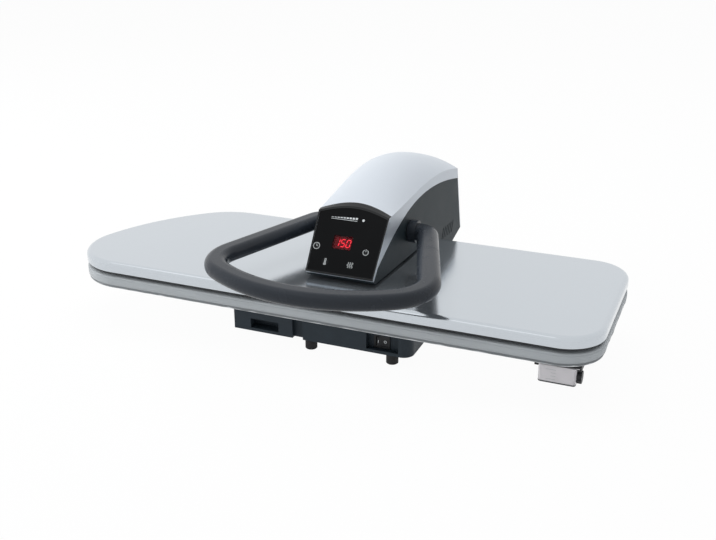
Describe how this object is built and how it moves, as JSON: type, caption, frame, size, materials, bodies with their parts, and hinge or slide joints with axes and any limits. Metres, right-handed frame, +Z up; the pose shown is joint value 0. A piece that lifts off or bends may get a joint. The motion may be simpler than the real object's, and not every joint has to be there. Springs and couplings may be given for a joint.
{
  "type": "steam ironing press",
  "caption": "Table-top steam ironing press: padded board on a base, heated plate above it on a hinged arm with a hoop handle, control panel and sliding water tank.",
  "frame": {"origin": "on the table top under the middle of the closed press's overall box", "axes": "+X to the user's right along the board, +Y to the rear, +Z up"},
  "size_m": [1.01, 0.655, 0.292],
  "materials": {
    "base_grey": "dark grey moulded plastic, fine satin",
    "foot_rubber": "matt rubber",
    "zinc_steel": "zinc-plated sheet steel",
    "pump_black": "moulded pump body",
    "circuit_green": "lacquered circuit board",
    "black_plastic": "black moulded plastic",
    "foam": "open-cell foam",
    "silver_fabric": "silver heat-reflecting woven cover",
    "tube_silicone": "translucent silicone tube",
    "bright_steel": "bright turned steel",
    "spring_steel": "oiled spring steel",
    "clear_tank": "clear moulded tank",
    "silver_paint": "silver satin paint",
    "dark_cover": "dark grey moulded plastic",
    "silver_rim": "silver satin trim",
    "panel_gloss": "gloss black panel",
    "red_window": "red-tinted clear window",
    "display_red": "lit display",
    "key_gloss": "gloss black key",
    "bronze": "sintered bronze",
    "handle_grey": "dark grey smooth moulded plastic",
    "silver_head": "silver satin paint",
    "plate_aluminium": "smooth pressing surface",
    "cast_aluminium": "as-cast aluminium",
    "blanket_wool": "mineral-wool blanket",
    "gasket_rubber": "black silicone rubber"
  },
  "bodies": {
    "base": {"base_housing": "base_grey", "base_tray": "base_grey", "feet": "foot_rubber", "foot_screws": "zinc_steel", "water_pump": "pump_black", "power_board": "circuit_green", "power_inlet": "black_plastic", "switch_frame": "black_plastic", "board_straps": "zinc_steel", "board_screws": "zinc_steel", "board_pan": "zinc_steel", "board_pad": "foam", "board_cover": "silver_fabric", "tank_dock": "black_plastic", "water_tube": "tube_silicone", "hinge_bracket": "zinc_steel", "bracket_bolts": "zinc_steel", "hinge_shaft": "bright_steel", "hinge_clips": "bright_steel", "counter_springs": "spring_steel"},
    "tank": {"water_tank": "clear_tank", "tank_valve": "black_plastic"},
    "cap": {"tank_cap": "black_plastic"},
    "rocker": {"power_rocker": "black_plastic"},
    "arm": {"arm_frame": "zinc_steel", "arm_top_cover": "silver_paint", "arm_left_cover": "dark_cover", "arm_right_cover": "dark_cover", "arm_under_cover": "dark_cover", "panel_rim": "silver_rim", "panel_carrier": "black_plastic", "control_panel": "panel_gloss", "display_window": "red_window", "display_module": "display_red", "control_board": "circuit_green", "handle_bushes": "bronze", "pivot_pin": "bright_steel"},
    "time_key": {"time_key": "key_gloss"},
    "temperature_key": {"temperature_key": "key_gloss"},
    "steam_key": {"steam_key": "key_gloss"},
    "start_key": {"start_key": "key_gloss"},
    "handle": {"handle_upper_shell": "handle_grey", "handle_lower_shell": "handle_grey", "handle_pins": "bright_steel"},
    "head": {"head_cover": "silver_head", "heating_plate": "plate_aluminium", "heating_element": "bright_steel", "insulation_blanket": "blanket_wool", "plate_gasket": "gasket_rubber", "steam_chamber": "cast_aluminium", "thermostat": "bright_steel", "pivot_mount": "cast_aluminium", "pivot_bushes": "gasket_rubber"}
  },
  "joints": [
    {"name": "arm_hinge", "type": "hinge", "parent": "base", "child": "arm", "pos_m": [0.034, 0.2445, 0.095], "axis": [-1, 0, 0], "range_deg": [0, 50], "deforming": ["counter_springs"]},
    {"name": "head_tilt", "type": "hinge", "parent": "arm", "child": "head", "pos_m": [0.034, 0.0095, 0.165], "axis": [1, 0, 0], "range_deg": [-1.2, 1.2], "stiffness_Nm_per_rad": 500},
    {"name": "handle_lift", "type": "hinge", "parent": "arm", "child": "handle", "pos_m": [0.034, 0.0415, 0.187], "axis": [-1, 0, 0], "range_deg": [0, 12]},
    {"name": "power_switch", "type": "hinge", "parent": "base", "child": "rocker", "pos_m": [0.122, -0.1285, 0.0395], "axis": [0, 0, -1], "range_deg": [0, 16]},
    {"name": "tank_slide", "type": "slide", "parent": "base", "child": "tank", "axis": [0, -1, 0], "range_m": [0, 0.185]},
    {"name": "cap_turn", "type": "hinge", "parent": "tank", "child": "cap", "pos_m": [0.475, -0.168, 0.057], "axis": [1, 0, 0], "range_deg": [0, 90]},
    {"name": "time_key_press", "type": "slide", "parent": "arm", "child": "time_key", "axis": [0, 0.7975, -0.6034], "range_m": [0, 0.0008], "stiffness_N_per_m": 600},
    {"name": "temperature_key_press", "type": "slide", "parent": "arm", "child": "temperature_key", "axis": [0, 0.7975, -0.6034], "range_m": [0, 0.0008], "stiffness_N_per_m": 600},
    {"name": "steam_key_press", "type": "slide", "parent": "arm", "child": "steam_key", "axis": [0, 0.7975, -0.6034], "range_m": [0, 0.0008], "stiffness_N_per_m": 600},
    {"name": "start_key_press", "type": "slide", "parent": "arm", "child": "start_key", "axis": [0, 0.7975, -0.6034], "range_m": [0, 0.0008], "stiffness_N_per_m": 600}
  ]
}
